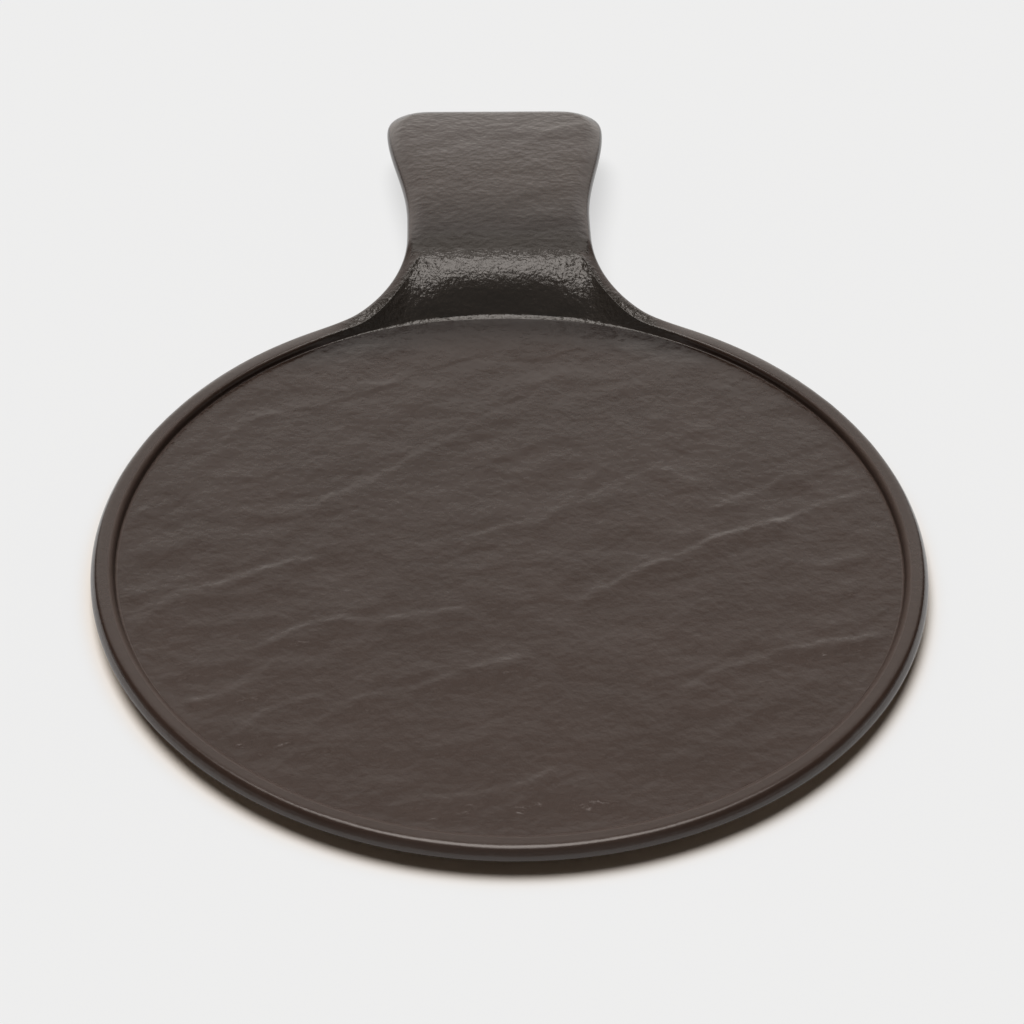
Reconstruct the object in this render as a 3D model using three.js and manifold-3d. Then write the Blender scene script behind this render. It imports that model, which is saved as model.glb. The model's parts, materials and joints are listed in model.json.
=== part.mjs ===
// A round serving platter with a raised rim and one wide arched handle, standing on four pads.
// Millimetres, +Z up. The handle points along +Y, X = 0 is the plane of symmetry and Z = 0 is the table.
import * as THREE from "three";
import { mergeVertices } from "three/addons/utils/BufferGeometryUtils.js";
import Module from "manifold-3d";

// Disc and rim
const discRadius = 150;
const floorFillet = 0.5; // hollow corner between the floor and the rim's wall
const riserFillet = 3; // the same at the foot of the riser
const wallRun = 2.1; // how far the rim's inner wall leans out
const rimWidth = 6.5; // top of the rim, and of the border that climbs to the handle
const rimHeight = 3.1; // lip of the rim above the floor
const rimFall = 0.4; // fall of the rim's top from its lip to its outer edge
const rimCrown = 0.1; // swell in the middle of the rim's top
const lipRadius = 2; // round along the top of the inner wall
const neckLipRadius = 0.7; // the same beside the riser
const rimDepth = 5; // height of the rim's outer face
const rimDraft = 0.7; // how far the outer face leans in at its top
const rimRound = 1.4; // upper edge of the outer face
const rimUnderRound = 1.6; // lower edge of the outer face

// Underside and foot ring
const padStand = 1.4; // how far the pads hold the foot ring off the table
const slabThickness = 5;
const flareRun = 20; // breadth of the underside that curves up to the rim
const footRadius = 105; // middle of the foot ring
const footWidth = 16;
const footHeight = 1.4;
const footChamfer = 0.8;

// Handle in plan
const handleReach = 132; // from the disc's edge to the end of the handle
const neckReach = 24; // from the disc's edge to the narrowest place
const neckStraight = 15.3; // length that stays as narrow as the neck
const neckWidth = 75.8;
const earWidth = 94.7; // widest place, near the end
const cornerRadius = 17.6;

// Handle in side view
const crestReach = 10; // from the disc's edge to the crest, where the riser passes into the arch
const crestTilt = 9; // slope of the top there, in degrees
const crestRadius = 20; // round from the riser to the crest
const crestOpening = 10; // length at each end of the crest over which the sharp lip opens into that round
const apexReach = 37; // from the disc's edge to the top of the arch
const apexRise = 19.8; // top of the arch above the serving floor
const archRadius = 850; // droop of the arch towards its end
const handleThickness = 6.5;
const handleRound = 3; // upper and lower edges of the handle
const borderDrop = 0.2; // fall of the top from its middle to the border
const edgeDrop = 2; // fall of the top from its middle to the edge
const coveRun = 14; // hollow under the root of the handle

// Climb of the border, measured along the outline from the place where the neck leaves the disc
const lipClimbStart = -2;
const lipClimbPast = 0.5; // how far past the crest's corner the lip still climbs
const edgeClimbStart = -9.6;
const edgeClimbPast = -1.1; // how far past the neck the edge still climbs
const lipSharpStart = -30; // where the lip's round starts to tighten
const climbEaseIn = 0.3;
const climbEaseOut = 0.12;

// Pads and the adhesive discs that hold them
const padDiameter = 10;
const padRound = 0.7;
const socketDepth = 1.2;
const socketClearance = 0.3; // round the pad
const adhesiveThickness = 0.3;
const adhesiveInset = 0.4; // the disc is this much smaller than the pad all round

// How finely the curves are divided
const frontSteps = 28; // from the front of the disc to its side
const backSteps = 20; // from the side of the disc to the neck
const neckSteps = 8;
const shoulderSteps = 4;
const flankSteps = 11;
const cornerSteps = 3;
const endSteps = 5;
const filletSteps = 3;
const lipSteps = 5;
const borderSteps = 2;
const edgeSteps = 4;
const flareSteps = 5;
const padSteps = 32;
const weldDistance = 1e-4;
const roundShare = 0.97; // largest share of a wall's run that the round at its top takes
const sideFade = 4; // power with which the fall at the handle's sides fades towards its middle
const endFade = 8; // the same for the fall at its end

// Sizes that follow from the ones above
const slabBottom = padStand + footHeight;
const floorHeight = slabBottom + slabThickness;
const floorRadius = discRadius - rimWidth - wallRun;
const rimTop = floorHeight + rimHeight;
const rimBottom = rimTop - rimDepth;
const apexHeight = floorHeight + apexRise;
const handleEnd = discRadius + handleReach;
const neckY = discRadius + neckReach;
const crestY = discRadius + crestReach;
const apexY = discRadius + apexReach;
const crestSlope = THREE.MathUtils.degToRad(crestTilt);
const rampRadius = (apexY - crestY) / Math.sin(crestSlope);
const earY = handleEnd - cornerRadius;
const neckHalf = neckWidth / 2;
const earHalf = earWidth / 2;
const neckRadius = (neckHalf ** 2 + neckY ** 2 - discRadius ** 2) / (2 * (discRadius - neckHalf));
const neckCentreX = neckHalf + neckRadius;
const leaveAngle = Math.atan2(neckCentreX, neckY); // from the handle's axis to where the neck starts
const neckSweep = Math.PI / 2 - leaveAngle;
const shoulderAngle = Math.asin((neckY - crestY) / (neckRadius + rimWidth));
const neckLength = neckRadius * neckSweep;
const shoulderAlong = neckRadius * (neckSweep - shoulderAngle);
const lipClimbEnd = shoulderAlong + lipClimbPast;
const flareStart = neckY + neckStraight;
const socketTop = padStand + socketDepth;
const padTop = socketTop - adhesiveThickness;
const socketRadius = padDiameter / 2 + socketClearance;

const wasm = await Module();
wasm.setup();

const mix = THREE.MathUtils.lerp;
const span = (steps, from, to) => Array.from({ length: steps + 1 }, (_, k) => mix(from, to, k / steps));

// A climb from 0 to 1 that starts and stops gently and is straight in between.
function climb(distance, start, end) {
  const t = THREE.MathUtils.clamp((distance - start) / (end - start), 0, 1);
  const slope = 1 / (1 - climbEaseIn / 2 - climbEaseOut / 2);
  if (t < climbEaseIn) return (slope * t * t) / (2 * climbEaseIn);
  if (t > 1 - climbEaseOut) return 1 - (slope * (1 - t) ** 2) / (2 * climbEaseOut);
  return slope * (t - climbEaseIn / 2);
}

// Height of the arch over the table along its middle: a climb from the crest, and a droop towards the end.
function archHeight(y) {
  const past = Math.max(crestY, y) - apexY;
  const radius = past < 0 ? rampRadius : archRadius;
  return apexHeight - radius + Math.sqrt(radius ** 2 - past ** 2);
}

// The same without the climb, for the edge and the underside.
const shelfHeight = (y) => archHeight(Math.max(apexY, y));

// The outline

// One place on the outline: where it is, which way is outwards, and how far along the neck it lies.
function station(zone, x, y, normalX, normalY, along) {
  const point = new THREE.Vector2(x, y);
  const out = new THREE.Vector2(normalX, normalY).normalize();
  return { zone, point, out, along };
}

function discStation(angle) {
  const [s, c] = [Math.sin(angle), Math.cos(angle)];
  return station("disc", discRadius * s, discRadius * c, s, c, discRadius * (leaveAngle - angle));
}

function neckStation(zone, angle) {
  const [s, c] = [Math.sin(angle), Math.cos(angle)];
  const along = neckRadius * (neckSweep - angle);
  return station(zone, neckCentreX - neckRadius * c, neckY - neckRadius * s, c, s, along);
}

function flankStation(y) {
  const t = Math.max(0, y - flareStart) / (earY - flareStart);
  const x = mix(neckHalf, earHalf, t * t * (3 - 2 * t));
  const slope = ((earHalf - neckHalf) * 6 * t * (1 - t)) / (earY - flareStart);
  return station("side", x, y, 1, -slope, neckLength + y - neckY);
}

function cornerStation(zone, angle) {
  const [s, c] = [Math.sin(angle), Math.cos(angle)];
  const along = neckLength + earY - neckY + cornerRadius * angle;
  return station(zone, earHalf - cornerRadius + cornerRadius * c, earY + cornerRadius * s, c, s, along);
}

// From the front of the disc, up the right side, to the middle of the handle's end.
function rightOutline() {
  const cornerMiddle = Math.PI / 4;
  const endAlong = neckLength + earY - neckY + cornerRadius * 2 * cornerMiddle;
  return [
    ...span(frontSteps, Math.PI, Math.PI / 2).slice(0, -1).map(discStation),
    ...span(backSteps, Math.PI / 2, leaveAngle).slice(0, -1).map(discStation),
    ...span(neckSteps, neckSweep, shoulderAngle).slice(0, -1).map((a) => neckStation("neck", a)),
    ...span(shoulderSteps, shoulderAngle, 0).slice(0, -1).map((a) => neckStation("side", a)),
    ...span(flankSteps, neckY, earY).slice(0, -1).map(flankStation),
    ...span(cornerSteps, 0, cornerMiddle).slice(0, -1).map((a) => cornerStation("side", a)),
    ...span(cornerSteps, cornerMiddle, 2 * cornerMiddle).slice(0, -1).map((a) => cornerStation("end", a)),
    ...span(endSteps, earHalf - cornerRadius, 0).map((x) => station("end", x, handleEnd, 0, 1, endAlong)),
  ];
}

function mirrored(place) {
  const flip = (v) => new THREE.Vector2(-v.x, v.y);
  return { ...place, point: flip(place.point), out: flip(place.out) };
}

// The section at one place on the outline

const inset = (place, distance) => place.point.clone().addScaledVector(place.out, -distance);
const raised = (plan, z) => new THREE.Vector3(plan.x, plan.y, z);
const edgeClimb = (place) => climb(place.along, edgeClimbStart, neckLength + edgeClimbPast);

// Top of the inner wall on the disc and neck, and inner line of the border on the handle.
function lipPoint(place) {
  const plan = inset(place, rimWidth);
  const share = climb(place.along, lipClimbStart, lipClimbEnd);
  return raised(plan, mix(rimTop, archHeight(plan.y) - borderDrop, share));
}

function edgeTop(place) {
  return mix(rimTop - rimFall, shelfHeight(place.point.y) - edgeDrop, edgeClimb(place));
}

function edgeBottom(place) {
  const share = climb(place.along, 0, neckLength + edgeClimbPast);
  return mix(rimBottom, shelfHeight(place.point.y) - edgeDrop - handleThickness, share);
}

// Inner wall from the floor's hollow corner, up a straight lean, to a round that ends with a given slope.
function wallSection(lip, wantedRadius, fillet, slope) {
  const reach = Math.hypot(lip.x, lip.y);
  const run = reach - floorRadius;
  const radius = Math.min(wantedRadius, (run * roundShare) / (1 - roundShare * Math.sin(slope)));
  const centreRun = run + radius * Math.sin(slope);
  const centreZ = lip.z - floorHeight - radius * Math.cos(slope);
  const lean = Math.atan2(centreZ, centreRun) + Math.asin(radius / Math.hypot(centreZ, centreRun));
  const start = fillet * Math.tan(lean / 2);
  const profile = [
    ...span(filletSteps, 0, lean).map((a) => [
      fillet * Math.sin(a) - start,
      fillet * (1 - Math.cos(a)),
    ]),
    ...span(lipSteps, lean, slope).map((a) => [
      centreRun - radius * Math.sin(a),
      centreZ + radius * Math.cos(a),
    ]),
  ];
  const points = profile.map(([s, z]) => {
    const share = (floorRadius + s) / reach;
    return new THREE.Vector3(lip.x * share, lip.y * share, floorHeight + z);
  });
  points[points.length - 1] = lip;
  return points;
}

// Rim or border from the lip out to the edge, round the edge and under it.
function rimSection(place, lip) {
  const share = edgeClimb(place);
  const round = mix(rimRound, handleRound, share);
  const underRound = mix(rimUnderRound, handleRound, share);
  const draft = mix(rimDraft, 0, share);
  const top = edgeTop(place);
  const bottom = edgeBottom(place);
  const tilt = Math.max(0, Math.atan2(lip.z - top + 4 * rimCrown, rimWidth - draft - round));
  const upper = span(edgeSteps, tilt, Math.PI / 2).map((a) => {
    const plan = inset(place, draft + round * (1 - Math.sin(a)));
    return raised(plan, top - round * (1 - Math.cos(a)));
  });
  const border = span(borderSteps, 0, 1).map((t) => {
    const point = lip.clone().lerp(upper[0], t);
    point.z += rimCrown * 4 * t * (1 - t);
    return point;
  });
  border[0] = lip;
  const lower = span(edgeSteps, 0, Math.PI / 2).map((a) => {
    const plan = inset(place, underRound * (1 - Math.cos(a)));
    return raised(plan, bottom + underRound * (1 - Math.sin(a)));
  });
  return [...border, ...upper.slice(1), ...lower];
}

// The handle's upper and lower skins

// A four-sided net between two side lines, a first and a last line. Heights come from a surface, and the
// difference at the borders fades quickly towards the middle.
function handleNet(first, right, left, last, surface) {
  const rows = right.length - 1;
  const columns = first.length - 1;
  const net = [];
  for (let j = 0; j <= columns; j++) {
    const across = j / columns;
    const sideWeight = (2 * across - 1) ** sideFade;
    net.push(
      right.map((_, i) => {
        if (i === 0) return first[j];
        if (i === rows) return last[j];
        if (j === 0) return right[i];
        if (j === columns) return left[i];
        const up = i / rows;
        const plan = (p) => new THREE.Vector2(p.x, p.y);
        const sides = plan(right[i]).lerp(plan(left[i]), across);
        const ends = plan(first[j]).lerp(plan(last[j]), up);
        const near = plan(right[0]).lerp(plan(left[0]), across);
        const far = plan(right[rows]).lerp(plan(left[rows]), across);
        const point = sides.add(ends).sub(near.lerp(far, up));
        const fault = (p) => p.z - surface(p.x, p.y);
        const side = fault(right[i]) * sideWeight;
        const end = (fault(last[j]) - fault(right[rows]) * sideWeight) * up ** endFade;
        return raised(point, surface(point.x, point.y) + side + end);
      }),
    );
  }
  return net;
}

const topSurface = (x, y) => archHeight(y);

// Underside of the arch, with a quarter-round hollow up from the disc's edge.
function lowerSurface(x, y) {
  const past = Math.min(1, (Math.hypot(x, y) - discRadius + rimUnderRound) / coveRun);
  const share = Math.sqrt(Math.max(0, 1 - (1 - past) ** 2));
  return mix(rimBottom, shelfHeight(y) - handleThickness, share);
}

// Underside of the disc as radius and height, from the rim in to the middle.
function undersideProfile() {
  const outer = footRadius + footWidth / 2;
  const inner = footRadius - footWidth / 2;
  const start = discRadius - rimUnderRound;
  const flare = span(flareSteps, 1, 0).map((t) => [
    start - flareRun * (1 - t),
    mix(slabBottom, rimBottom, t * t),
  ]);
  return [
    ...flare,
    [outer, slabBottom],
    [outer - footChamfer, padStand],
    [inner + footChamfer, padStand],
    [inner, slabBottom],
  ];
}

// Skins, as lists of triangle corners

const between = (from, to) => Array.from({ length: to - from + 1 }, (_, k) => from + k);

// Skin over lines of points, with the lines in order round the body.
function skin(lines, closed) {
  const corners = [];
  const count = closed ? lines.length : lines.length - 1;
  for (let i = 0; i < count; i++) {
    const here = lines[i];
    const next = lines[(i + 1) % lines.length];
    for (let k = 0; k + 1 < here.length; k++) {
      corners.push(here[k], here[k + 1], next[k + 1], here[k], next[k + 1], next[k]);
    }
  }
  return corners;
}

function fan(ring, centre, upwards) {
  return ring.flatMap((point, i) => {
    const next = ring[(i + 1) % ring.length];
    return upwards ? [centre, point, next] : [centre, next, point];
  });
}

// The places all round the outline, with their lips, their sections and where the zones start.
function outlineFrame() {
  const half = rightOutline();
  const places = [...half, ...half.slice(1, -1).reverse().map(mirrored)];
  const lips = places.map(lipPoint);
  const sections = places.map((place, i) => rimSection(place, lips[i]));
  const low = sections.map((section) => section.at(-1));
  const opposite = (i) => (places.length - i) % places.length;
  const [neck, side, end] = ["neck", "side", "end"].map((zone) => half.findIndex((p) => p.zone === zone));
  return { places, lips, sections, low, opposite, neck, side, end, last: places.length - 1 };
}

// Line across the top of the riser, from the right lip to the left one.
function crestLine({ lips, opposite, side, end }) {
  const steps = opposite(end) - end;
  const height = archHeight(crestY);
  const drop = height - lips[side].z;
  const line = span(steps, 0, 1).map((across) => {
    const point = lips[side].clone().lerp(lips[opposite(side)], across);
    point.z = height - drop * (2 * across - 1) ** sideFade;
    return point;
  });
  line[0] = lips[side];
  line[steps] = lips[opposite(side)];
  return line;
}

// Line under the root of the handle, where it leaves the underside of the disc.
function rootLine({ low, opposite, neck, end }) {
  const steps = opposite(end) - end;
  const radius = discRadius - rimUnderRound;
  const line = span(steps, leaveAngle, -leaveAngle).map(
    (angle) => new THREE.Vector3(radius * Math.sin(angle), radius * Math.cos(angle), rimBottom),
  );
  line[0] = low[neck];
  line[steps] = low[opposite(neck)];
  return line;
}

function upperSkin({ lips, opposite, side, end }, crest) {
  const rightSide = between(side, end);
  const right = rightSide.map((i) => lips[i]);
  const left = rightSide.map((i) => lips[opposite(i)]);
  const last = between(end, opposite(end)).map((i) => lips[i]);
  return skin(handleNet(crest, right, left, last, topSurface), false);
}

// Serving floor, the wall round it and the riser.
function floorSkin({ places, lips, opposite, side, last }, crest) {
  const wall = (i) => {
    const { along } = places[i];
    const radius = mix(lipRadius, neckLipRadius, climb(along, lipSharpStart, lipClimbStart));
    const fillet = mix(floorFillet, riserFillet, climb(along, lipClimbStart, shoulderAlong));
    return wallSection(lips[i], radius, fillet, 0);
  };
  const riser = (lip) => {
    const fromEnd = Math.min(lip.distanceTo(crest[0]), lip.distanceTo(crest.at(-1)));
    const opening = climb(fromEnd, 0, crestOpening);
    return wallSection(lip, mix(neckLipRadius, crestRadius, opening), riserFillet, crestSlope * opening);
  };
  const walls = [
    ...between(0, side).map(wall),
    ...crest.slice(1, -1).map(riser),
    ...between(opposite(side), last).map(wall),
  ];
  const middle = new THREE.Vector3(0, 0, floorHeight);
  return [...skin(walls, true), ...fan(walls.map((w) => w[0]), middle, true)];
}

function lowerSkin({ low, opposite, neck, end }, root) {
  const rightSide = between(neck, end);
  const right = rightSide.map((i) => low[i]);
  const left = rightSide.map((i) => low[opposite(i)]);
  const last = between(end, opposite(end)).map((i) => low[i]);
  const net = handleNet(root, right, left, last, lowerSurface);
  return skin(net.map((line) => line.reverse()), false);
}

// Underside of the disc with its foot ring.
function discUnderside({ low, opposite, neck, last }, root) {
  const right = between(0, neck).map((i) => low[i]);
  const left = between(opposite(neck), last).map((i) => low[i]);
  const profile = undersideProfile();
  const lines = [...right, ...root.slice(1, -1), ...left].map((point) => {
    const reach = Math.hypot(point.x, point.y);
    const inwards = profile.slice(1).map(([radius, z]) => {
      const share = radius / reach;
      return new THREE.Vector3(point.x * share, point.y * share, z);
    });
    return [point, ...inwards];
  });
  const middle = new THREE.Vector3(0, 0, slabBottom);
  return [...skin(lines, true), ...fan(lines.map((line) => line.at(-1)), middle, false)];
}

// Solids

function solidOf(geometry) {
  const bare = new THREE.BufferGeometry();
  bare.setAttribute("position", geometry.getAttribute("position"));
  bare.setIndex(geometry.index);
  const merged = mergeVertices(bare, weldDistance);
  return new wasm.Manifold(
    new wasm.Mesh({
      numProp: 3,
      vertProperties: merged.attributes.position.array,
      triVerts: new Uint32Array(merged.index.array),
    }),
  );
}

function geometryOf(solid) {
  const mesh = solid.getMesh();
  const geometry = new THREE.BufferGeometry();
  geometry.setAttribute("position", new THREE.BufferAttribute(mesh.vertProperties, mesh.numProp));
  geometry.setIndex(new THREE.BufferAttribute(mesh.triVerts, 1));
  geometry.computeVertexNormals();
  return geometry;
}

function platterShell() {
  const frame = outlineFrame();
  const crest = crestLine(frame);
  const root = rootLine(frame);
  return new THREE.BufferGeometry().setFromPoints([
    ...upperSkin(frame, crest),
    ...floorSkin(frame, crest),
    ...skin(frame.sections, true),
    ...lowerSkin(frame, root),
    ...discUnderside(frame, root),
  ]);
}

// A solid of revolution about Z from a profile of [radius, height] pairs that starts and ends on the axis.
function turned(profile) {
  const geometry = new THREE.LatheGeometry(profile.map(([r, z]) => new THREE.Vector2(r, z)), padSteps);
  return geometry.rotateX(Math.PI / 2);
}

function plug(radius, from, to) {
  return turned([
    [0, from],
    [radius, from],
    [radius, to],
    [0, to],
  ]);
}

function padGeometry() {
  const radius = padDiameter / 2;
  const round = span(edgeSteps, 0, Math.PI / 2).map((a) => [
    radius - padRound * (1 - Math.sin(a)),
    padRound * (1 - Math.cos(a)),
  ]);
  return turned([[0, 0], ...round, [radius, padTop], [0, padTop]]);
}

const padPlaces = [
  ["front_right", -1, 1],
  ["front_left", -1, -1],
  ["back_right", 1, 1],
  ["back_left", 1, -1],
].map(([name, back, right]) => ({
  name,
  x: right * footRadius * Math.SQRT1_2,
  y: back * footRadius * Math.SQRT1_2,
}));

function platterBody() {
  return padPlaces.reduce((solid, { x, y }) => {
    const socket = plug(socketRadius, 0, socketTop).translate(x, y, 0);
    return solid.subtract(solidOf(socket));
  }, solidOf(platterShell()));
}

function part(name, geometry, material) {
  const mesh = new THREE.Mesh(geometry, material);
  mesh.name = name;
  return mesh;
}

const stoneware = new THREE.MeshStandardMaterial({ color: 0x534a46, roughness: 0.7, metalness: 0 });
const silicone = new THREE.MeshStandardMaterial({ color: 0x2a2a2b, roughness: 0.85, metalness: 0 });
const adhesive = new THREE.MeshStandardMaterial({ color: 0xd9d4c6, roughness: 0.5, metalness: 0 });

const platter = new THREE.Group();
platter.position.y = -handleReach / 2;
platter.add(part("platter_body", geometryOf(platterBody()), stoneware));
for (const { name, x, y } of padPlaces) {
  const foot = new THREE.Group();
  foot.position.set(x, y, 0);
  foot.add(part("foot_pad_" + name, padGeometry(), silicone));
  const disc = plug(padDiameter / 2 - adhesiveInset, padTop, socketTop);
  foot.add(part("adhesive_disc_" + name, disc, adhesive));
  platter.add(foot);
}

const assembly = new THREE.Group();
assembly.add(platter);

export default assembly;
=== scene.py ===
"""A round slate-look serving platter with one arched handle, standing on four pads."""

import json
import math

import bmesh
import bpy
import numpy as np
from mathutils import Matrix, Vector, noise


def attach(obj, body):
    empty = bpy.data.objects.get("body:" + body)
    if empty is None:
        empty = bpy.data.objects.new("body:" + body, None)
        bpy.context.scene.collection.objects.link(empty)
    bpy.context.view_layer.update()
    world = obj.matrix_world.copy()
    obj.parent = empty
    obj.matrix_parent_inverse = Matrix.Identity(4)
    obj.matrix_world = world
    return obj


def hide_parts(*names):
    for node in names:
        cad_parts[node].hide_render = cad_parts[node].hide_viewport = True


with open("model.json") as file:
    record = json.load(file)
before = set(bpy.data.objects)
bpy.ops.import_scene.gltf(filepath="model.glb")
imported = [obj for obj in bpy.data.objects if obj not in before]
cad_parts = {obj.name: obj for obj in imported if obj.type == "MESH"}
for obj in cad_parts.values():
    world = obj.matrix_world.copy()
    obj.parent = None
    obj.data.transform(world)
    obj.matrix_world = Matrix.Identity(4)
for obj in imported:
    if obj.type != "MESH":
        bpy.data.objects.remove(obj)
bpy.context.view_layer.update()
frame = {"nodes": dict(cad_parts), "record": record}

MM = 0.001
BODY = "platter_body"

# The middle of the serving floor, from which places on the platter are given in millimetres
MOUNTS = {mount["name"]: mount["pos_m"] for mount in frame["record"]["mounts"]}
DISC_MIDDLE = Vector(MOUNTS["serving_floor"])

# Skin: what counts as one point or a level face, and the angles that stay sharp
TOUCHING = 1e-6
FLAT = 0.999
LEVEL = 0.9
QUAD_BEND = math.radians(60)
QUAD_SKEW = math.radians(150)
CREASE_ANGLE = math.radians(55)
SHARP_ANGLE = math.radians(40)

# Serving floor: squares across the disc, how often each is cut again, and the relief's fade at the wall
FLOOR_SPAN = 64
FLOOR_CUTS = 3
WALL_FADE = 5.0
WALL_LEAN = (0.03, 0.2)
WALL_LEVEL = 0.1
WALL_ENDS = (40.0, 100.0)

# Riser: its section as heights and reaches, how far that goes, and where its hammered finish lies
RISER_Y = (118.0, 132.0)
RISER_SECTION = [(0.9, 141.6), (9.9, 147.9), (13.7, 151.9), (15.2, 154.6), (17.0, 158.5)]
RISER_TOP = (12.0, 16.5)
RISER_SIDES = (31.0, 40.0)
RISER_LEAN = (0.1, 0.3)
HAMMERED_LEAN = (0.02, 0.14)
LIP_HEIGHTS = [(34, 30.0), (36, 16.0), (42, 11.2), (50, 7.6), (60, 4.5)]
LIP_EDGE = (-0.6, 0.2)
PEEL_LEAN = (0.45, 0.85)
PEEL_LOSS = 0.4

# Painted shade: a dark patch of the serving floor at the riser's foot
SHADE_Y = (100.0, 125.0)
SHADE_RUN = (1.0, 26.0)

# Handle: where its slate begins past the crest, what counts as its top, and where the relief comes in
HANDLE_NEAR = 156.5
HANDLE_Y = (161.5, 164.0)
HANDLE_RAGGED = [(1.6, 5, 3, 5.3)]
HANDLE_TOP = 0.8
HANDLE_LEVEL = (0.86, 0.95)
HANDLE_RELIEF = 0.6
RELIEF_Y = (164.0, 182.0)

# Rim: its nearly level top, its edge's section as steps out and down, and where the handle's neck begins
RIM_FROM = 143.3
RIM_OUT = 149.85
RIM_TOP = 3.07
RIM_CLIMB = 0.03
EDGE_SECTION = [(0, 0), (0.5, 0.3), (1.3, 1.25), (2.05, 2.5), (2.45, 3.6), (2.5, 4.1)]
EDGE_WAVER = [(0.2, 4, 4, 7.7)]
NECK_Y = (70.0, 115.0)

# Main ridges of the slate: strength, then points from left to right
RIDGES = [
    (0.26, [(-135, -33), (-110, -21), (-90, -12), (-66, -4)]),
    (0.34, [(-91, -57), (-82, -46), (-60, -36), (-46, -37), (-30, -36), (-11, -30)]),
    (0.36, [(15, -39), (29, -23), (46, -14), (62, -5), (71, 3), (103, 15), (136, 32)]),
    (0.22, [(-112, -79), (-94, -71), (-78, -55)]),
    (0.22, [(-97, -97), (-86, -84), (-64, -74)]),
    (0.28, [(-59, -85), (-55, -77), (-38, -72), (-11, -61), (6, -55)]),
    (0.34, [(49, -79), (65, -67), (85, -58), (109, -51), (131, -47)]),
    (0.2, [(-48, -127), (-30, -123), (-12, -121), (17, -109)]),
    (0.16, [(-16, -131), (11, -119), (43, -107)]),
    (0.2, [(-75, 22), (-51, 38), (0, 83)]),
    (0.18, [(-26, 1), (11, 16), (53, 42), (67, 47)]),
    (0.2, [(73, 20), (114, 42)]),
    (0.2, [(12, -59), (26, -48)]),
    (0.3, [(2, 241), (22, 256), (43, 269)]),
]
RIDGE_HEIGHT = 1.3
RIDGE_BACK = 1.2
RIDGE_FRONT = 6.0
RIDGE_ENDS = 0.12
RIDGE_MEAN = 0.75
RIDGE_SWING = 0.5
RIDGE_PATCH = 9.0
RIDGE_SEEDS = (20.5, 3.1)

# Layers of noise in the slate: height, length, width and seed of each
SLATE_TURN = math.radians(25)
SWELLS = [(0.2, 62, 38, 1.3), (0.2, 22, 12, 2.9)]
RIPPLES = [(0.16, 9, 8, 6.1), (0.05, 4.6, 4.6, 9.7)]
RAGGED_X = [(1.6, 8, 8, 11.9)]
RAGGED_Y = [(1.3, 7, 7, 12.7), (1.6, 21, 21, 13.3)]
FLAKES = [(1.0, 30, 17, 15.7)]
FLAKE_BEND = [(6, 26, 26, 14.9)]
FLAKE_HEIGHT = 0.5
BAND_WANDER = [(9, 46, 30, 3.1), (2.2, 13, 9, 4.7)]
BAND_PATCHES = [(1.0, 34, 15, 8.3)]
BAND_SHOWN = (0.02, 0.35)
BAND_SPACING = 15.0
BAND_FRONT = 0.12
BAND_HEIGHT = 0.14

# Stoneware: colours from dark to light, among them a painted sheen for the handle's end and a painted shade,
# and the stretches of the frame's Y over which they change
BROWN = ((0.03, 0.0184, 0.0138, 1), (0.0425, 0.0264, 0.0204, 1))
# Painted sheen: greyer colours for the handle's end, standing in for its grazing reflection
PAINTED_SHEEN = ((0.026, 0.0165, 0.0122, 1), (0.038, 0.0255, 0.0195, 1))
# Painted shade, for the handle past the crest and the serving floor at the riser's foot
SHADED = (0.011, 0.006, 0.0045, 1)
RISER_GREY = (0.036, 0.0297, 0.0248, 1)
# Painted shade: the stretch of Y over which the tone darkens towards the back
BACK_SHADE_Y = (-220.0, 60.0)
# Painted shade: the stretches of Y where the handle past the crest is darkened
CREST_SHADE_Y = (80.0, 92.0)
CREST_SHADE_END_Y = (100.0, 155.0)
# Painted sheen: the stretch of Y, made ragged, over which the handle's end turns greyer
SHEEN_Y = (120.0, 205.0)
SHEEN_RAGGED = 60.0
SHADE_STRENGTH = 0.95

# Stoneware: how far clouds and streaks change its tone, and how far painted shade darkens it towards the
# back
TONE_MEAN = 0.8
TONE_CLOUD = 0.9
TONE_STREAK = 0.7
BACK_SHADE_FALL = 0.7

# Stoneware: noise per millimetre, gloss and bump
CLOUD_SCALE = 0.022
STREAK_SCALE = (0.06, 0.5, 0.3)
FINE_SCALE = 0.3
HAMMER_SCALE = 0.5
ROUGHNESS = 0.24
ROUGH_GRAIN = 0.08
WALL_ROUGHER = 0.4
SHADE_SMOOTHER = 0.1
RISER_SMOOTHER = 0.06
STONEWARE_IOR = 1.5
GLAZE = 0.25
GLAZE_ROUGHNESS = 0.15
SLATE_BUMP = 0.3
PEEL_BUMP = 0.47
BARE_BUMP = 0.08

# Pads and adhesive: colours from dark to light, noise per millimetre and roughness
RUBBER = ((0.018, 0.018, 0.019, 1), (0.032, 0.031, 0.031, 1))
BLOOM_SCALE = 0.9
RUBBER_ROUGHNESS = 0.62
FILM = ((0.69, 0.66, 0.57, 1), (0.8, 0.78, 0.72, 1))
BUBBLE_SCALE = 3.0
BUBBLE_EDGE = (0.55, 0.7)
FILM_ROUGHNESS = 0.4
ROUGHER = 0.2

# Camera: a lens for a square frame, aimed from the front and above
LENS = 85.0
SENSOR_WIDTH = 36.0
CLIP_START = 0.01
ELEVATION = math.radians(40.245)
DISTANCE = 0.8765
RIGHT = 0.000525
UP = 0.01795
ROLL = math.radians(0.814)
TURN = math.radians(-2.07)

# Lamp: a soft light overhead
SOFTBOX_LEVEL = 2.9
SOFTBOX_WIDTH = math.radians(39)
SOFTBOX_WAY = Vector((-0.13, 0.215, 0.968))

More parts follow.
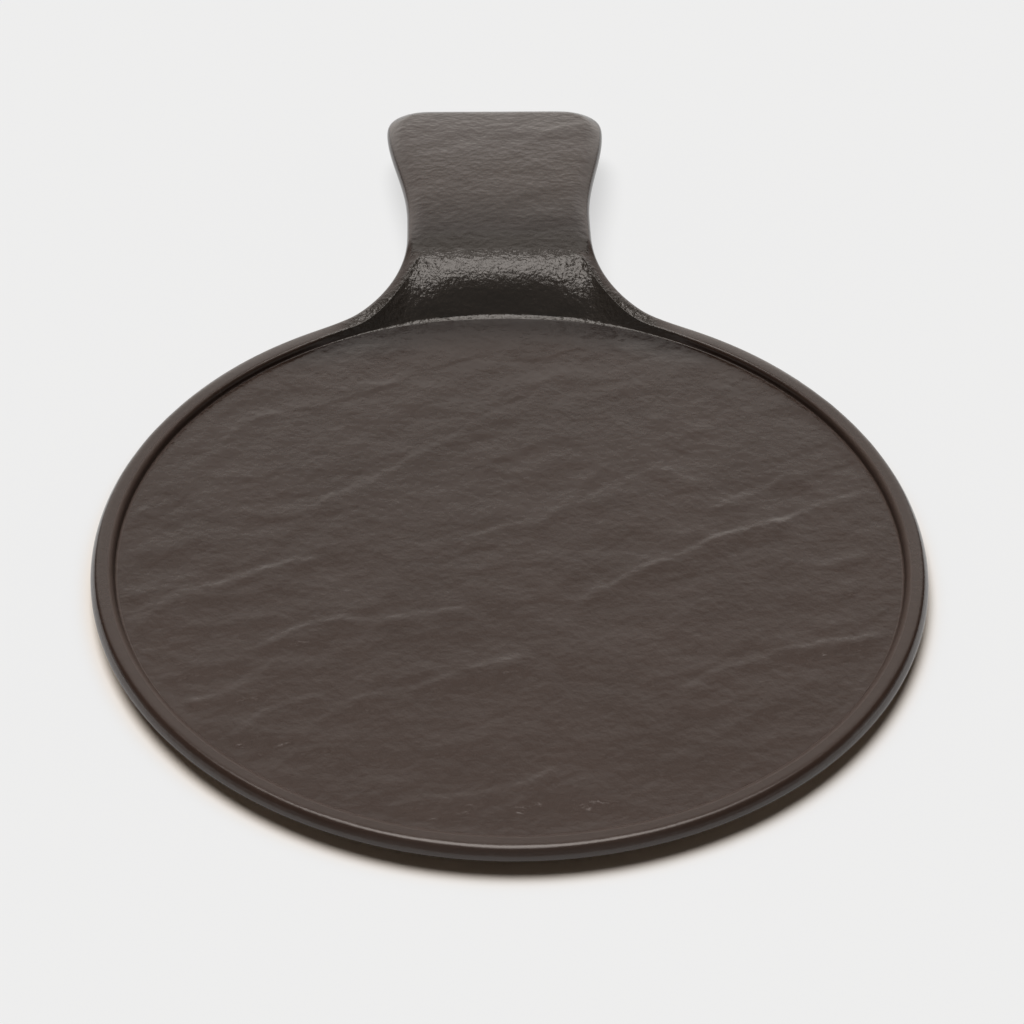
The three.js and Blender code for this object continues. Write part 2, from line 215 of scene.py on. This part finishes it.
# Room: what the platter mirrors, with stops in degrees from the back over the top to the front
GLOW_LEVEL = 4.7
GLOW_STOPS = [(61, 0.0), (67, 1.0), (92, 1.0), (112, 0.75), (126, 0.0)]
GLOW_SIDES = (0.12, 0.5)
GLOW_NARROWS = (98, 114)
GLOW_NARROWING = 3.0
SWEEP_LEVEL = 3.0
SWEEP_STOPS = [
    (0, 0.5), (14, 0.47), (22, 0.39), (34, 0.315), (41, 0.298),
    (47, 0.25), (53, 0.14), (58, 0.0), (140, 0.06),
]
SWEEP_SIDES = (0.35, 0.75)
HORIZON_LEVEL = 0.42
HORIZON_HEIGHTS = (0.04, 0.28)
HORIZON_BACK = (-0.1, 0.4)
MIRROR_TINT = (1.0, 0.94, 0.89, 1)

# Room: the light that comes from its sides, and what the camera sees of it
ROOM_LEVEL = 0.005
ROOM_SIDES = (0.7, 1.0)
ROOM_SIDE_LEVEL = 0.7
ROOM_TINT = (1.0, 0.86, 0.7, 1)
WHITE = (1.0, 1.0, 1.0, 1)

# Studio floor: its colour far from the disc and close under it, and where its shadows fade
STAGE_SIZE = 8.0
FLOOR_ALBEDO = (0.88, 0.88, 0.88, 1)
WARM_ALBEDO = (0.88, 0.77, 0.66, 1)
WARM_REACH = (146.0, 158.0)
FLOOR_GLOW = 0.863
SHADOW_REACH = (150.0, 160.0)
SHADOW_FADE = 0.7


# Mesh helpers


def only(piece):
    """Leave one object selected and active."""
    bpy.ops.object.select_all(action="DESELECT")
    piece.select_set(True)
    bpy.context.view_layer.objects.active = piece


def pick_faces(piece, wanted):
    """Select the faces that a test wants, in edit mode."""
    bpy.ops.mesh.select_mode(type="FACE")
    bpy.ops.mesh.select_all(action="DESELECT")
    faces = bmesh.from_edit_mesh(piece.data)
    for face in faces.faces:
        face.select_set(wanted(face))
    bmesh.update_edit_mesh(piece.data)


def points_of(piece):
    """A piece's points in millimetres from the middle of the serving floor, and their normals, by axis."""
    size = len(piece.data.vertices) * 3
    places = np.empty(size)
    normals = np.empty(size, dtype=np.float32)
    piece.data.vertices.foreach_get("co", places)
    piece.data.vertex_normals.foreach_get("vector", normals)
    millimetres = (places.reshape(-1, 3) - np.array(DISC_MIDDLE)) / MM
    return millimetres.T, normals.reshape(-1, 3).T


def put_points(piece, x, y, z):
    """Move the points of a piece to these places."""
    places = np.array(DISC_MIDDLE) + np.column_stack((x, y, z)) * MM
    piece.data.vertices.foreach_set("co", places.ravel())
    piece.data.update()


def point_values(piece, name, values):
    """Store one number for each point of a piece."""
    numbers = piece.data.attributes.new(name, "FLOAT", "POINT")
    numbers.data.foreach_set("value", values.astype(np.float32))


def rise(values, low, high):
    """Smooth climb from 0 at low to 1 at high."""
    t = np.clip((values - low) / (high - low), 0, 1)
    return t * t * (3 - 2 * t)


def grain(x, y, length, width, seed, turn=0.0):
    """Noise over points in millimetres, drawn out to a length and a width and turned."""
    c, s = math.cos(turn), math.sin(turn)
    a = (x * c + y * s) / length
    b = (y * c - x * s) / width
    return np.array([noise.noise((p, q, seed)) for p, q in zip(a, b)])


def layers(x, y, stack, turn=0.0):
    """The sum of layers of noise."""
    return sum(height * grain(x, y, *form, turn) for height, *form in stack)


# Slate relief, in millimetres


def beside(x, y, line):
    """Distance to a line, plus on its near side and minus on its far side, and the share walked along it."""
    best = np.full(x.shape, np.inf)
    signed = np.zeros(x.shape)
    along = np.zeros(x.shape)
    legs = [math.dist(a, b) for a, b in zip(line, line[1:])]
    walked = 0.0
    for (ax, ay), (bx, by), leg in zip(line, line[1:], legs):
        dx, dy = (bx - ax) / leg, (by - ay) / leg
        t = np.clip((x - ax) * dx + (y - ay) * dy, 0, leg)
        ox, oy = x - ax - t * dx, y - ay - t * dy
        gap = np.hypot(ox, oy)
        closer = gap < best
        best[closer] = gap[closer]
        signed[closer] = np.copysign(gap, ox * dy - oy * dx)[closer]
        along[closer] = (walked + t[closer]) / sum(legs)
        walked += leg
    return signed, along


def ridge(x, y, strength, line, seed):
    """An uneven ridge along a line, steep behind and long in front, that fades out at both ends."""
    signed, along = beside(x, y, line)
    ends = rise(along, 0, RIDGE_ENDS) * rise(1 - along, 0, RIDGE_ENDS)
    uneven = RIDGE_MEAN + RIDGE_SWING * grain(x, y, RIDGE_PATCH, RIDGE_PATCH, seed)
    back = rise(signed, -RIDGE_BACK, RIDGE_BACK)
    front = np.exp(-((np.maximum(signed - RIDGE_BACK, 0) / RIDGE_FRONT) ** 2))
    return RIDGE_HEIGHT * strength * ends * uneven * back * front


def main_ridges(x, y):
    """All the main ridges, with ragged lines."""
    ragged_x = x + layers(x, y, RAGGED_X)
    ragged_y = y + layers(x, y, RAGGED_Y)
    first, step = RIDGE_SEEDS
    return sum(
        ridge(ragged_x, ragged_y, strength, line, first + step * number)
        for number, (strength, line) in enumerate(RIDGES)
    )


def small_ridges(x, y):
    """Faint shorter ridges between the main ones, in wandering bands."""
    across = y * math.cos(SLATE_TURN) - x * math.sin(SLATE_TURN) + layers(x, y, BAND_WANDER)
    share = np.mod(across / BAND_SPACING, 1)
    saw = np.where(share < BAND_FRONT, share / BAND_FRONT, (1 - share) / (1 - BAND_FRONT))
    shown = rise(layers(x, y, BAND_PATCHES, SLATE_TURN), *BAND_SHOWN)
    return BAND_HEIGHT * shown * (saw - 0.5)


def flakes(x, y):
    """Low creases that wander, the edges of thin layers that have come away."""
    bend = layers(x, y, FLAKE_BEND)
    return -FLAKE_HEIGHT * np.abs(layers(x + bend, y - bend, FLAKES, SLATE_TURN))


def slate(x, y):
    """Height of the slate's surface over the smooth one."""
    broad = layers(x, y, SWELLS, SLATE_TURN) + layers(x, y, RIPPLES)
    return broad + small_ridges(x, y) + flakes(x, y) + main_ridges(x, y)


# The platter's body


def merged_body():
    """A copy of the CAD body as one merged skin, mostly of four-sided faces, open at the serving floor."""
    piece = bpy.data.objects.new("platter", frame["nodes"][BODY].data.copy())
    bpy.context.scene.collection.objects.link(piece)
    only(piece)
    bpy.ops.mesh.customdata_custom_splitnormals_clear()
    bpy.ops.object.mode_set(mode="EDIT")
    bpy.ops.mesh.select_all(action="SELECT")
    bpy.ops.mesh.remove_doubles(threshold=TOUCHING)

    def on_floor(face):
        return face.normal.z > FLAT and abs(face.calc_center_median().z - DISC_MIDDLE.z) < TOUCHING

    pick_faces(piece, on_floor)
    bpy.ops.mesh.delete(type="FACE")
    bpy.ops.mesh.select_all(action="SELECT")
    bpy.ops.mesh.tris_convert_to_quads(face_threshold=QUAD_BEND, shape_threshold=QUAD_SKEW)
    bpy.ops.mesh.select_all(action="DESELECT")
    bpy.ops.mesh.select_mode(type="EDGE")
    bpy.ops.mesh.edges_select_sharp(sharpness=CREASE_ANGLE)
    bpy.ops.transform.edge_crease(value=1)
    bpy.ops.object.mode_set(mode="OBJECT")
    return piece


def smooth_skin(piece):
    """One level of subdivision, applied."""
    smooth = piece.modifiers.new("smooth", "SUBSURF")
    smooth.levels = 1
    smooth.render_levels = 1
    bpy.ops.object.modifier_apply(modifier=smooth.name)


def steepen_riser(piece):
    """Pull the riser forward to one even section across the neck."""
    (x, y, z), (_, back, level) = points_of(piece)
    reach = np.hypot(x, y)
    limit = np.interp(z, *zip(*RISER_SECTION))
    share = rise(-back, *RISER_LEAN) * (1 - rise(z, *RISER_TOP)) * (1 - rise(np.abs(x), *RISER_SIDES))
    above_foot = (z > RISER_SECTION[0][0]) & (level > 0)
    on_riser = above_foot & (y > RISER_Y[0]) & (reach < HANDLE_Y[1])
    stretch = 1 + np.where(on_riser, share, 0) * (np.minimum(limit / reach, 1) - 1)
    put_points(piece, x * stretch, y * stretch, z)


def round_rim(piece):
    """Level the top of the rim and make its outside a rounded slope that wavers a little."""
    (x, y, z), _ = points_of(piece)
    reach = np.hypot(x, y)
    outs, drops = np.array(EDGE_SECTION).T
    legs = [math.dist(a, b) for a, b in zip(EDGE_SECTION, EDGE_SECTION[1:])]
    walked = np.cumsum([0] + legs) / sum(legs)
    level_end = RIM_OUT - outs[-1]
    brink = RIM_TOP + RIM_CLIMB * (level_end - RIM_FROM)
    foot = brink - drops[-1]
    rim = np.flatnonzero((reach > RIM_FROM) & (z > foot) & (y < NECK_Y[1]))
    old_reach, old_z = reach[rim], z[rim]
    out = (old_reach - level_end) / outs[-1]
    up = (old_z - foot) / drops[-1]
    down = 1 - np.arctan2(up, out) * 2 / math.pi
    waver = layers(x[rim], y[rim], EDGE_WAVER) * np.clip(1 - down, 0, 1)
    edge_z = brink - np.interp(down, walked, drops) + waver
    top_z = RIM_TOP + RIM_CLIMB * (old_reach - RIM_FROM)
    new_z = np.where(out > 0, edge_z, top_z)
    new_reach = np.where(out > 0, level_end + np.interp(down, walked, outs), old_reach)
    share = 1 - rise(y[rim], *NECK_Y)
    stretch = 1 + share * (new_reach / old_reach - 1)
    x[rim] *= stretch
    y[rim] *= stretch
    z[rim] += share * (new_z - old_z)
    put_points(piece, x, y, z)


def fill_floor():
    """Close the serving floor of the active piece with a fine grid."""
    bpy.ops.object.mode_set(mode="EDIT")
    bpy.ops.mesh.select_mode(type="EDGE")
    bpy.ops.mesh.select_all(action="DESELECT")
    bpy.ops.mesh.select_non_manifold(
        use_wire=False, use_boundary=True, use_multi_face=False, use_non_contiguous=False, use_verts=False
    )
    bpy.ops.mesh.fill_grid(span=FLOOR_SPAN)
    bpy.ops.mesh.subdivide(number_cuts=FLOOR_CUTS)
    bpy.ops.object.mode_set(mode="OBJECT")


def refine_handle(piece):
    """Cut the top of the handle finer, to take the slate's relief, and turn all faces outwards."""
    bpy.ops.object.mode_set(mode="EDIT")
    front = DISC_MIDDLE.y + HANDLE_Y[0] * MM

    def on_top(face):
        return face.normal.z > HANDLE_TOP and face.calc_center_median().y > front

    pick_faces(piece, on_top)
    bpy.ops.mesh.subdivide(number_cuts=1)
    bpy.ops.mesh.select_all(action="SELECT")
    bpy.ops.mesh.normals_make_consistent(inside=False)
    bpy.ops.object.mode_set(mode="OBJECT")


def lay_slate(piece):
    """Raise the slate on the serving floor and the handle, and store where each finish lies."""
    (x, y, z), (side, back, level) = points_of(piece)
    reach = np.hypot(x, y)
    on_floor = (np.abs(z) < TOUCHING / MM) & (level > LEVEL)
    to_wall = reach[on_floor].max() - reach
    floor_share = np.where(on_floor, rise(to_wall, 0, WALL_FADE), 0)
    on_handle = rise(level, *HANDLE_LEVEL) * (y > HANDLE_NEAR)
    near = on_handle > 0
    ragged = np.zeros(len(y))
    ragged[near] = layers(x[near], y[near], HANDLE_RAGGED)
    handle_share = on_handle * rise(y + ragged, *HANDLE_Y)
    share = np.maximum(floor_share, HANDLE_RELIEF * handle_share * rise(y, *RELIEF_Y))
    slated = share > 0
    z[slated] += slate(x[slated], y[slated]) * share[slated]
    put_points(piece, x, y, z)

    inward = -(side * x + back * y) / np.maximum(reach, 1)
    under_lip = 1 - rise(z - np.interp(np.abs(x), *zip(*LIP_HEIGHTS)), *LIP_EDGE)
    riser = rise(y, *RISER_Y) * rise(-back, *HAMMERED_LEAN) * under_lip * (level > 0)
    point_values(piece, "slate", np.where(on_floor, 1, handle_share))
    point_values(piece, "wall", rise(inward, *WALL_LEAN) * (level > WALL_LEVEL) * (1 - rise(y, *WALL_ENDS)))
    point_values(piece, "riser", riser)
    point_values(piece, "peel", riser * (1 - PEEL_LOSS * rise(-back, *PEEL_LEAN)))
    # Painted shade: where the serving floor is darkened at the riser's foot
    point_values(piece, "shade", on_floor * rise(y, *SHADE_Y) * (1 - rise(to_wall, *SHADE_RUN)))


# Materials


class Field:
    """A node socket that takes part in Python arithmetic."""

    def __init__(self, socket):
        self.socket = socket

    def node(self, kind, settings=None, links=None, output=0):
        """Add a node with its settings first and then the values or links of its sockets."""
        tree = self.socket.id_data
        node = tree.nodes.new(kind)
        for name, value in (settings or {}).items():
            setattr(node, name, value)
        for name, value in (links or {}).items():
            if isinstance(value, Field):
                tree.links.new(value.socket, node.inputs[name])
            else:
                node.inputs[name].default_value = value
        return Field(node.outputs[output])

    def ramp(self, stops):
        """Level on this share of half a turn, from stops in degrees."""
        shade = self.node("ShaderNodeValToRGB", None, {0: self})
        elements = shade.socket.node.color_ramp.elements
        while len(elements) < len(stops):
            elements.new(1.0)
        for element, (degrees, level) in zip(elements, stops):
            element.position = degrees / 180
            element.color = (level, level, level, 1)
        return shade

    def calculate(self, operation, *values):
        """A Math node on these values."""
        return self.node("ShaderNodeMath", {"operation": operation}, dict(enumerate(values)))

    def __add__(self, other):
        return self.calculate("ADD", self, other)

    def __radd__(self, other):
        return self.calculate("ADD", other, self)

    def __sub__(self, other):
        return self.calculate("SUBTRACT", self, other)

    def __rsub__(self, other):
        return self.calculate("SUBTRACT", other, self)

    def __mul__(self, other):
        return self.calculate("MULTIPLY", self, other)

    def __rmul__(self, other):
        return self.calculate("MULTIPLY", other, self)

    def climb(self, low, high):
        """Smooth climb from 0 at low to 1 at high."""
        settings = {"interpolation_type": "SMOOTHSTEP"}
        return self.node("ShaderNodeMapRange", settings, {"Value": self, "From Min": low, "From Max": high})

    def blend(self, first, second):
        """The first colour where this is 0 and the second where it is 1."""
        # A Mix node has its factor at socket 0, its colours at 6 and 7 and their mix at output 2
        settings = {"data_type": "RGBA"}
        return self.node("ShaderNodeMix", settings, {0: self, 6: first, 7: second}, 2)

    def noise(self, scale, detail=2.0, rough=0.5):
        """Noise on this vector, about 0 to 1."""
        links = {"Vector": self, "Scale": scale, "Detail": detail, "Roughness": rough}
        return self.node("ShaderNodeTexNoise", None, links)

    def stretched(self, scale, turn=0.0):
        """This vector turned about Z and scaled."""
        links = {"Vector": self, "Rotation": (0, 0, turn), "Scale": scale}
        return self.node("ShaderNodeMapping", None, links)


def new_finish(name):
    """A new material, its shader and its object coordinates in millimetres."""
    material = bpy.data.materials.new(name)
    material.use_nodes = True
    tree = material.node_tree
    shader = tree.nodes["Principled BSDF"]
    place = Field(tree.nodes.new("ShaderNodeTexCoord").outputs["Object"])
    settings = {"operation": "SCALE"}
    millimetres = place.node("ShaderNodeVectorMath", settings, {"Vector": place, "Scale": 1 / MM})
    return material, shader, millimetres


def feed(shader, name, field):
    """Link a field to a socket of a shader."""
    shader.id_data.links.new(field.socket, shader.inputs[name])


def attribute(place, name):
    """The numbers stored for the points of a piece."""
    settings = {"attribute_name": name}
    return place.node("ShaderNodeAttribute", settings, None, "Fac")


def stoneware():
    """Dark brown slate on the floor and handle, a hammered riser, and a thin glaze on the rim and edges."""
    material, shader, place = new_finish("stoneware")
    slate_share = attribute(place, "slate")
    riser_share = attribute(place, "riser")
    shade = attribute(place, "shade")
    wall_share = attribute(place, "wall")
    cloud = place.noise(CLOUD_SCALE, 3, 0.55)
    streak = place.stretched(STREAK_SCALE, SLATE_TURN / 3).noise(1.0, 4, 0.6)
    fine = place.noise(FINE_SCALE)
    hammered = place.noise(HAMMER_SCALE, 2, 0.55)
    along = place.node("ShaderNodeSeparateXYZ", None, {"Vector": place}, "Y")

    tone = (cloud - 0.5) * TONE_CLOUD + (streak - 0.5) * TONE_STREAK + TONE_MEAN
    # Painted shade: the tone darkens towards the back of the platter
    tone = tone - along.climb(*BACK_SHADE_Y) * BACK_SHADE_FALL
    # Painted shade on the handle just past the crest
    crest_shade = along.climb(*CREST_SHADE_Y) * (1 - along.climb(*CREST_SHADE_END_Y)) * slate_share
    # Painted sheen: the handle's end turns greyer, standing in for its grazing reflection
    sheen = (along + (streak - 0.5) * SHEEN_RAGGED).climb(*SHEEN_Y)
    colour = sheen.blend(tone.blend(*BROWN), tone.blend(*PAINTED_SHEEN))
    # Painted shade past the crest and on the floor at the riser's foot, mixed towards the dark SHADED colour
    colour = (crest_shade + shade * SHADE_STRENGTH).blend(colour, SHADED)
    feed(shader, "Base Color", riser_share.blend(colour, RISER_GREY))

    rough = wall_share * WALL_ROUGHER - shade * SHADE_SMOOTHER - riser_share * RISER_SMOOTHER
    feed(shader, "Roughness", rough + ROUGHNESS + (fine - 0.5) * ROUGH_GRAIN)
    shader.inputs["IOR"].default_value = STONEWARE_IOR
    feed(shader, "Coat Weight", (1 - slate_share) * (1 - wall_share) * (1 - riser_share) * GLAZE)
    shader.inputs["Coat Roughness"].default_value = GLAZE_ROUGHNESS

    peel = attribute(place, "peel") * PEEL_BUMP + BARE_BUMP
    height = fine * slate_share * SLATE_BUMP + hammered * (1 - slate_share) * peel
    bump = place.node("ShaderNodeBump", None, {"Strength": 1.0, "Distance": MM, "Height": height})
    feed(shader, "Normal", bump)
    return material


def silicone():
    """Dark matte rubber with a faint bloom."""
    material, shader, place = new_finish("silicone")
    bloom = place.noise(BLOOM_SCALE, 3, 0.6)
    feed(shader, "Base Color", bloom.blend(*RUBBER))
    feed(shader, "Roughness", bloom * ROUGHER + RUBBER_ROUGHNESS)
    return material


def film_adhesive():
    """Pale film with fine trapped bubbles."""
    material, shader, place = new_finish("film_adhesive")
    bubbles = place.noise(BUBBLE_SCALE, 2, 0.6).climb(*BUBBLE_EDGE)
    feed(shader, "Base Color", bubbles.blend(*FILM))
    feed(shader, "Roughness", bubbles * ROUGHER + FILM_ROUGHNESS)
    return material


# The pieces


def platter():
    """The body, built from the CAD node that it replaces."""
    piece = merged_body()
    smooth_skin(piece)
    steepen_riser(piece)
    round_rim(piece)
    fill_floor()
    refine_handle(piece)
    lay_slate(piece)
    only(piece)
    bpy.ops.object.shade_smooth_by_angle(angle=SHARP_ANGLE)
    piece.data.materials.clear()
    piece.data.materials.append(stoneware())
    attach(piece, "root")
    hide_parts(BODY)


def pads_and_adhesive():
    """Give the pads and their adhesive discs their own finishes."""
    rubber = silicone()
    film = film_adhesive()
    for name, node in frame["nodes"].items():
        if name == BODY:
            continue
        node.material_slots[0].material = rubber if name.startswith("foot_pad") else film


# Stage


def studio_floor():
    """A wide pale floor under the pads, on which shadows get fainter away from the disc."""
    bpy.ops.object.select_all(action="DESELECT")
    bpy.ops.mesh.primitive_plane_add(size=STAGE_SIZE)
    floor = bpy.context.active_object
    floor.name = "studio_floor"
    material, shader, place = new_finish("studio_floor")
    shader.inputs["Roughness"].default_value = 1.0
    shader.inputs["Specular IOR Level"].default_value = 0.0
    tree = material.node_tree
    middle = (DISC_MIDDLE.x / MM, DISC_MIDDLE.y / MM, 0)
    settings = {"operation": "DISTANCE"}
    away = place.node("ShaderNodeVectorMath", settings, {0: place, 1: middle}, "Value")
    feed(shader, "Base Color", away.climb(*WARM_REACH).blend(WARM_ALBEDO, FLOOR_ALBEDO))
    seen = Field(tree.nodes.new("ShaderNodeLightPath").outputs["Is Camera Ray"])
    share = away.climb(*SHADOW_REACH) * seen * SHADOW_FADE
    glow = tree.nodes.new("ShaderNodeEmission")
    glow.inputs["Strength"].default_value = FLOOR_GLOW
    mixed = tree.nodes.new("ShaderNodeMixShader")
    tree.links.new(share.socket, mixed.inputs[0])
    tree.links.new(shader.outputs[0], mixed.inputs[1])
    tree.links.new(glow.outputs[0], mixed.inputs[2])
    tree.links.new(mixed.outputs[0], tree.nodes["Material Output"].inputs["Surface"])
    floor.data.materials.append(material)


def studio_lamp():
    """A softbox overhead and a little behind, for the light and the shadows alone."""
    softbox = bpy.data.lights.new("softbox", "SUN")
    softbox.energy = SOFTBOX_LEVEL
    softbox.angle = SOFTBOX_WIDTH
    lamp = bpy.data.objects.new("softbox", softbox)
    lamp.rotation_euler = SOFTBOX_WAY.to_track_quat("Z", "Y").to_euler()
    lamp.visible_glossy = False
    bpy.context.scene.collection.objects.link(lamp)


def studio_room():
    """A pale room for the camera, a sweep and a glow for the platter to mirror, and dim light besides."""
    world = bpy.data.worlds.new("studio")
    world.use_nodes = True
    bpy.context.scene.world = world
    tree = world.node_tree
    way = Field(tree.nodes.new("ShaderNodeTexCoord").outputs["Generated"])
    parts = way.node("ShaderNodeSeparateXYZ", None, {"Vector": way})
    across, back, up = (Field(socket) for socket in parts.socket.node.outputs)
    paths = tree.nodes.new("ShaderNodeLightPath").outputs
    seen = Field(paths["Is Camera Ray"])
    mirrored = Field(paths["Is Glossy Ray"]) + Field(paths["Is Transmission Ray"])
    turned = up.calculate("ARCTAN2", up, back) * (1 / math.pi)
    aside = across.calculate("ABSOLUTE", across)
    sweep = turned.ramp(SWEEP_STOPS) * (1 - aside.climb(*SWEEP_SIDES)) * SWEEP_LEVEL
    narrow = turned.climb(*(degrees / 180 for degrees in GLOW_NARROWS)) * GLOW_NARROWING + 1
    glow = turned.ramp(GLOW_STOPS) * (1 - (aside * narrow).climb(*GLOW_SIDES)) * GLOW_LEVEL
    horizon = (1 - up.climb(*HORIZON_HEIGHTS)) * (1 - back.climb(*HORIZON_BACK)) * HORIZON_LEVEL
    room = aside.climb(*ROOM_SIDES) * ROOM_SIDE_LEVEL + ROOM_LEVEL
    level = seen * FLOOR_GLOW + mirrored * (sweep + glow + horizon) + (1 - seen - mirrored) * room
    feed(tree.nodes["Background"], "Strength", level)
    feed(tree.nodes["Background"], "Color", seen.blend(mirrored.blend(ROOM_TINT, MIRROR_TINT), WHITE))


def camera():
    """The view from the front and above, turned a little to the left of the handle."""
    lens = bpy.data.cameras.new("front_view")
    lens.lens = LENS
    lens.sensor_width = SENSOR_WIDTH
    lens.clip_start = CLIP_START
    view = bpy.data.objects.new("front_view", lens)
    bpy.context.scene.collection.objects.link(view)
    view.matrix_world = (
        Matrix.Translation((DISC_MIDDLE.x, DISC_MIDDLE.y, 0))
        @ Matrix.Rotation(TURN, 4, "Z")
        @ Matrix.Rotation(math.pi / 2 - ELEVATION, 4, "X")
        @ Matrix.Translation((RIGHT, UP, DISTANCE))
        @ Matrix.Rotation(ROLL, 4, "Z")
    )
    bpy.context.scene.camera = view


bpy.context.scene.view_settings.view_transform = "Standard"
platter()
pads_and_adhesive()
studio_floor()
studio_lamp()
studio_room()
camera()
